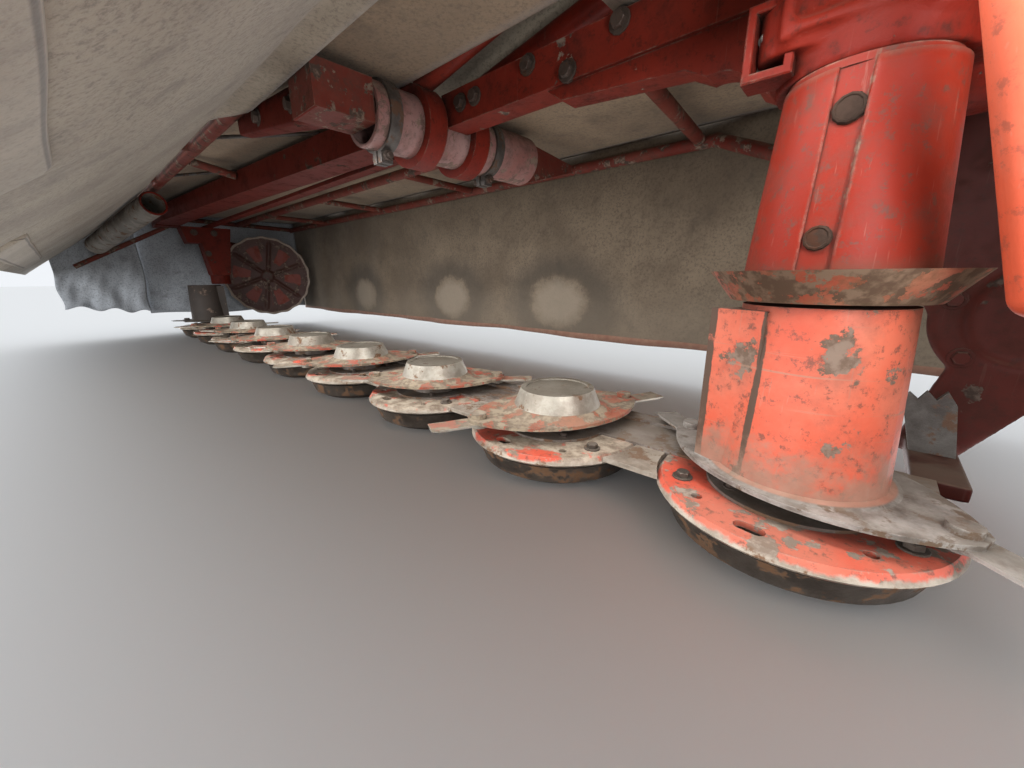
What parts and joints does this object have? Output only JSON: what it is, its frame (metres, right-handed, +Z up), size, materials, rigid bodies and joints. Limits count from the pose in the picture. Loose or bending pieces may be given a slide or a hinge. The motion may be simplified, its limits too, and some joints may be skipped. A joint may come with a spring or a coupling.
{
  "type": "disc mower",
  "caption": "Rear-mounted disc mower under a canvas canopy, carried at its middle by a twin tube arm on a three-point headstock.",
  "frame": {"origin": "on the ground under the axis of the inner drum", "axes": "+X outward along the cutter bar, +Y forward in the driving direction, +Z up"},
  "size_m": [5.1222, 1.5348, 1.37],
  "materials": {
    "grey_steel": "dirty worn steel",
    "worn_sole": "polished by the ground",
    "worn_red": "worn red paint",
    "drum_red": "scuffed red paint",
    "dark_drum": "dark with dirt",
    "bright_red": "satin red paint",
    "cast_red": "painted casting",
    "dark_steel": "dark rusty steel",
    "orange_paint": "bright orange red paint",
    "dull_red": "dull red paint",
    "faded_tube": "faded paint over grey",
    "rail_red": "dusty red paint",
    "canvas": "stained coated canvas",
    "swath_paint": "brown red paint",
    "chrome_rod": "polished",
    "bare_steel": "bare",
    "disc_steel": "paint worn to steel"
  },
  "bodies": {
    "headstock": {"headstock_frame": "dull_red", "top_mast": "dull_red", "hitch_pins": "bare_steel", "drive_gearbox": "cast_red", "lift_bracket": "dull_red"},
    "arm": {"carrying_arm": "dull_red"},
    "unit": {"cutter_bar": "grey_steel", "skid_soles": "worn_sole", "guard_plates": "worn_red", "drum_housing": "bright_red", "housing_cover": "bright_red", "drum_collar": "worn_red", "gearbox": "cast_red", "inner_carrier": "cast_red", "divider_fin": "dark_steel", "guard_post": "orange_paint", "inner_beam": "dull_red", "pendulum_tube": "faded_tube", "tube_straps": "dark_steel", "outer_beam": "dull_red", "beam_flat": "dull_red", "outer_pillar": "dull_red", "front_rail": "rail_red", "middle_rail": "rail_red", "rear_rail": "rail_red", "roof_struts": "rail_red", "end_frames": "rail_red", "flap_pipe": "grey_steel", "roof_canvas": "canvas", "roof_hood": "canvas", "rear_curtain": "canvas", "outer_curtain": "canvas", "inner_curtain": "canvas", "swath_arm": "dull_red"},
    "drum_in": {"inner_drum": "drum_red"},
    "drum_out": {"outer_drum": "dark_drum"},
    "swath": {"swath_disc": "swath_paint"},
    "front_flap": {"flap_frame": "rail_red", "flap_canvas": "canvas"},
    "stand": {"parking_stand": "dark_steel"},
    "barrel": {"cylinder_barrel": "dark_steel"},
    "rod": {"cylinder_rod": "chrome_rod"},
    "rotor_1": {"disc_1": "disc_steel"},
    "rotor_2": {"disc_2": "disc_steel"},
    "rotor_3": {"disc_3": "disc_steel"},
    "rotor_4": {"disc_4": "disc_steel"},
    "rotor_5": {"disc_5": "disc_steel"},
    "rotor_6": {"disc_6": "disc_steel"},
    "rotor_7": {"disc_7": "disc_steel"}
  },
  "joints": [
    {"name": "arm_lift", "type": "hinge", "parent": "headstock", "child": "arm", "pos_m": [-0.75, -0.093, 1.027], "axis": [0, -1, 0], "range_deg": [-12, 85]},
    {"name": "unit_tilt", "type": "hinge", "parent": "arm", "child": "unit", "pos_m": [0.817, -0.093, 0.68], "axis": [0, -1, 0], "range_deg": [-6, 6]},
    {"name": "drum_in_spin", "type": "hinge", "parent": "unit", "child": "drum_in", "pos_m": [0, 0, 0.2], "axis": [0, 0, 1], "continuous": true},
    {"name": "rotor_1_spin", "type": "hinge", "parent": "unit", "child": "rotor_1", "pos_m": [0.385, 0, 0.1], "axis": [0, 0, 1], "continuous": true},
    {"name": "rotor_2_spin", "type": "hinge", "parent": "unit", "child": "rotor_2", "pos_m": [0.77, 0, 0.1], "axis": [0, 0, 1], "continuous": true},
    {"name": "rotor_3_spin", "type": "hinge", "parent": "unit", "child": "rotor_3", "pos_m": [1.155, 0, 0.1], "axis": [0, 0, 1], "continuous": true},
    {"name": "rotor_4_spin", "type": "hinge", "parent": "unit", "child": "rotor_4", "pos_m": [1.54, 0, 0.1], "axis": [0, 0, 1], "continuous": true},
    {"name": "rotor_5_spin", "type": "hinge", "parent": "unit", "child": "rotor_5", "pos_m": [1.925, 0, 0.1], "axis": [0, 0, 1], "continuous": true},
    {"name": "rotor_6_spin", "type": "hinge", "parent": "unit", "child": "rotor_6", "pos_m": [2.31, 0, 0.1], "axis": [0, 0, 1], "continuous": true},
    {"name": "rotor_7_spin", "type": "hinge", "parent": "unit", "child": "rotor_7", "pos_m": [2.695, 0, 0.1], "axis": [0, 0, 1], "continuous": true},
    {"name": "drum_out_spin", "type": "hinge", "parent": "unit", "child": "drum_out", "pos_m": [3.08, 0, 0.2], "axis": [0, 0, 1], "continuous": true},
    {"name": "swath_spin", "type": "hinge", "parent": "unit", "child": "swath", "pos_m": [3.187, -0.4, 0.365], "axis": [0.9397, -0.342, 0], "continuous": true},
    {"name": "flap_swing", "type": "hinge", "parent": "unit", "child": "front_flap", "pos_m": [0, 0.279, 0.736], "axis": [1, 0, 0], "range_deg": [0, 110]},
    {"name": "stand_slide", "type": "slide", "parent": "headstock", "child": "stand", "axis": [0, 0, 1], "range_m": [0, 0.3]},
    {"name": "cylinder_swing", "type": "hinge", "parent": "headstock", "child": "barrel", "pos_m": [-1.15, -0.093, 1.33], "axis": [0, -1, 0], "range_deg": [-8, 50]},
    {"name": "cylinder_stroke", "type": "slide", "parent": "barrel", "child": "rod", "axis": [0.9394, 0, -0.3429], "range_m": [-0.44, 0.065]}
  ],
  "couplings": [
    {"joint": "rotor_1_spin", "follows": "drum_in_spin", "ratio": 1},
    {"joint": "rotor_2_spin", "follows": "drum_in_spin", "ratio": -1},
    {"joint": "rotor_3_spin", "follows": "drum_in_spin", "ratio": 1},
    {"joint": "rotor_4_spin", "follows": "drum_in_spin", "ratio": -1},
    {"joint": "rotor_5_spin", "follows": "drum_in_spin", "ratio": 1},
    {"joint": "rotor_6_spin", "follows": "drum_in_spin", "ratio": -1},
    {"joint": "rotor_7_spin", "follows": "drum_in_spin", "ratio": 1},
    {"joint": "drum_out_spin", "follows": "drum_in_spin", "ratio": -1},
    {"joint": "cylinder_swing", "follows": "arm_lift", "ratio": 0.581},
    {"joint": "cylinder_stroke", "follows": "arm_lift", "m_per_rad": -0.294}
  ]
}
